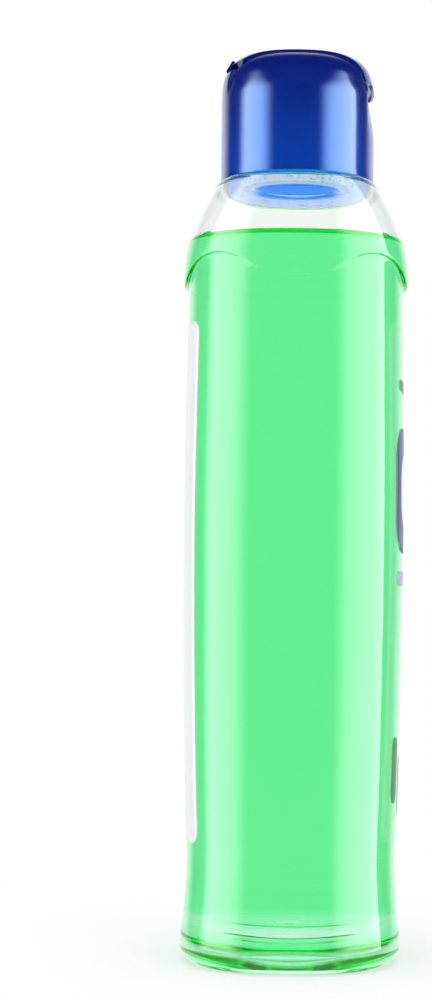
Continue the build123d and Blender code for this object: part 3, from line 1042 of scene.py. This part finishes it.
links.new(pale.outputs[0], plain_or_white.inputs[0])
links.new(nodes["Principled BSDF"].outputs[0], plain_or_white.inputs[1])
links.new(white.outputs[0], plain_or_white.inputs[2])
place = nodes.new("ShaderNodeTexCoord")
reach = nodes.new("ShaderNodeVectorMath")
reach.operation = "LENGTH"
fade = nodes.new("ShaderNodeMapRange")
fade.interpolation_type = "SMOOTHSTEP"
fade.inputs["From Min"].default_value = FLOOR_FADE_FROM
fade.inputs["From Max"].default_value = FLOOR_FADE_TO
thin = nodes.new("ShaderNodeBsdfTransparent")
thinning = nodes.new("ShaderNodeMixShader")
links.new(place.outputs["Object"], reach.inputs[0])
links.new(reach.outputs["Value"], fade.inputs["Value"])
links.new(fade.outputs["Result"], thinning.inputs[0])
links.new(plain_or_white.outputs[0], thinning.inputs[1])
links.new(thin.outputs[0], thinning.inputs[2])
links.new(thinning.outputs[0], nodes["Material Output"].inputs["Surface"])
floor_mesh.materials.append(pale_floor)
floor = bpy.data.objects.new("floor", floor_mesh)
bpy.context.scene.collection.objects.link(floor)

# %% [markdown]
# The room is white to the camera and through clear plastic, and a plain soft light for matt
# surfaces. For gloss it is lit behind the bottle only, as in a studio, so the cap's front stays
# deep blue and just its rims are pale.

# %% White room
ROOM_LEVEL = 0.95
GLOSS_DARK_UNTIL, GLOSS_WHITE_FROM, GLOSS_DARK = 0.72, 0.93, 0.012
world = bpy.data.worlds.new("white_room")
bpy.context.scene.world = world
world.use_nodes = True
nodes, links = world.node_tree.nodes, world.node_tree.links
background = nodes["Background"]
background.inputs["Color"].default_value = (1, 1, 1, 1)
path = nodes.new("ShaderNodeLightPath")
direction = nodes.new("ShaderNodeTexCoord")
axes = nodes.new("ShaderNodeSeparateXYZ")
behind = nodes.new("ShaderNodeMapRange")
behind.interpolation_type = "SMOOTHSTEP"
behind.inputs["From Min"].default_value = GLOSS_DARK_UNTIL
behind.inputs["From Max"].default_value = GLOSS_WHITE_FROM
behind.inputs["To Min"].default_value = GLOSS_DARK
behind.inputs["To Max"].default_value = 1.0
links.new(direction.outputs["Generated"], axes.inputs[0])
links.new(axes.outputs["X"], behind.inputs["Value"])
seen = nodes.new("ShaderNodeMath")
seen.operation = "MAXIMUM"
links.new(path.outputs["Is Camera Ray"], seen.inputs[0])
links.new(path.outputs["Is Transmission Ray"], seen.inputs[1])
gloss = nodes.new("ShaderNodeMix")
gloss.data_type = "FLOAT"
gloss.inputs["A"].default_value = ROOM_LEVEL
links.new(path.outputs["Is Glossy Ray"], gloss.inputs["Factor"])
links.new(behind.outputs["Result"], gloss.inputs["B"])
level = nodes.new("ShaderNodeMix")
level.data_type = "FLOAT"
level.inputs["B"].default_value = 1.0
links.new(seen.outputs[0], level.inputs["Factor"])
links.new(gloss.outputs["Result"], level.inputs["A"])
links.new(level.outputs["Result"], background.inputs["Strength"])

# %% [markdown]
# Two tall soft boxes stand left and right. Each is brightest near its rear edge and fades towards
# the camera, which is what gives a bottle one crisp and one soft edge to its long highlights. They
# also fade towards the top, and show in gloss only, so they don't wash out the colours.

# %% Soft boxes
BOX_DISTANCE, BOX_FRONT, BOX_REAR = 0.80, -1.45, 0.36
BOX_LOW, BOX_HIGH = -0.35, 1.45
BOX_BRIGHTNESS = 6.0
TOP_FADE = (1.0, 0.45)


def faded(nodes, links, value, dark, bright):
    """0 up to dark, 1 from bright on, smooth in between, whichever of them is the larger."""
    fade = nodes.new("ShaderNodeMapRange")
    fade.interpolation_type = "SMOOTHSTEP"
    fade.inputs["From Min"].default_value = min(dark, bright)
    fade.inputs["From Max"].default_value = max(dark, bright)
    fade.inputs["To Min"].default_value = 0.0 if dark < bright else 1.0
    fade.inputs["To Max"].default_value = 1.0 if dark < bright else 0.0
    links.new(value, fade.inputs["Value"])
    return fade.outputs["Result"]


def tall_box(name, side, rear_edge, front_edge):
    """A soft box at that side (-1 or 1 along Y). Each edge is (dark, bright) as X in metres."""
    light = bpy.data.lights.new(name, "AREA")
    light.shape = "RECTANGLE"
    light.size, light.size_y = BOX_REAR - BOX_FRONT, BOX_HIGH - BOX_LOW
    light.energy = BOX_BRIGHTNESS * math.pi * light.size * light.size_y
    light.use_nodes = True
    nodes, links = light.node_tree.nodes, light.node_tree.links
    face = nodes.new("ShaderNodeNewGeometry")
    axes = nodes.new("ShaderNodeSeparateXYZ")
    links.new(face.outputs["Parametric"], axes.inputs[0])

    def along(x):
        share = (x - BOX_FRONT) / (BOX_REAR - BOX_FRONT)
        return 1 - share if side > 0 else share

    level = faded(nodes, links, axes.outputs["X"], *map(along, rear_edge))
    for edge in (faded(nodes, links, axes.outputs["X"], *map(along, front_edge)),
                 faded(nodes, links, axes.outputs["Y"], *TOP_FADE)):
        product = nodes.new("ShaderNodeMath")
        product.operation = "MULTIPLY"
        links.new(level, product.inputs[0])
        links.new(edge, product.inputs[1])
        level = product.outputs[0]
    links.new(level, nodes["Emission"].inputs["Strength"])
    lamp = bpy.data.objects.new(name, light)
    lamp.location = ((BOX_FRONT + BOX_REAR) / 2, side * BOX_DISTANCE, (BOX_LOW + BOX_HIGH) / 2)
    lamp.rotation_euler = (math.radians(90), 0, math.radians(180 if side > 0 else 0))
    lamp.visible_diffuse = False
    lamp.visible_transmission = False
    bpy.context.scene.collection.objects.link(lamp)


tall_box("soft_box_left", 1, (0.36, 0.02), (-1.15, -0.25))
tall_box("soft_box_right", -1, (0.34, 0.30), (-1.40, -0.30))

# %% [markdown]
# One large plain lamp above gives the soft shadow. It turns towards the middle of the bottle.

# %% Plain lamp
LAMP_SIZE, LAMP_WATTS = 0.9, 3.0
LAMP_PLACE, LAMP_AIM = (-0.35, 0.0, 1.25), (0.0, 0.0, 0.1)
lamp_light = bpy.data.lights.new("plain_lamp", "AREA")
lamp_light.size = LAMP_SIZE
lamp_light.energy = LAMP_WATTS
plain_lamp = bpy.data.objects.new("plain_lamp", lamp_light)
plain_lamp.location = LAMP_PLACE
towards_bottle = Vector(LAMP_AIM) - plain_lamp.location
plain_lamp.rotation_euler = towards_bottle.to_track_quat("-Z", "Y").to_euler()
plain_lamp.visible_glossy = False
bpy.context.scene.collection.objects.link(plain_lamp)

# %% [markdown]
# The camera stands level at the narrow side, a little below the bottle's middle. Its distance
# shows in the cap's rim and the liquid line, which arch up. The picture is 1000 pixels high, and
# at the bottle 3.6 of them go into a millimetre, which gives the lens.

# %% Camera
CAMERA_DISTANCE, CAMERA_HEIGHT = 0.690, 0.0989
PIXELS_PER_MILLIMETRE, PICTURE_HEIGHT, SENSOR = 3.6, 1000, 36
SHIFT_ACROSS, SHIFT_UP = -0.077, 0.10
CAMERA_ROLL = -0.57
camera_data = bpy.data.cameras.new("camera")
camera_data.sensor_width = SENSOR
camera_data.lens = PIXELS_PER_MILLIMETRE * CAMERA_DISTANCE * 1000 * SENSOR / PICTURE_HEIGHT
camera_data.shift_x = SHIFT_ACROSS
camera_data.shift_y = SHIFT_UP
camera = bpy.data.objects.new("camera", camera_data)
camera.location = (-CAMERA_DISTANCE, 0, CAMERA_HEIGHT)
camera.rotation_euler = (math.radians(90), math.radians(CAMERA_ROLL), math.radians(-90))
bpy.context.scene.collection.objects.link(camera)
bpy.context.scene.camera = camera

# %% Colour view
bpy.context.scene.view_settings.view_transform = "Standard"
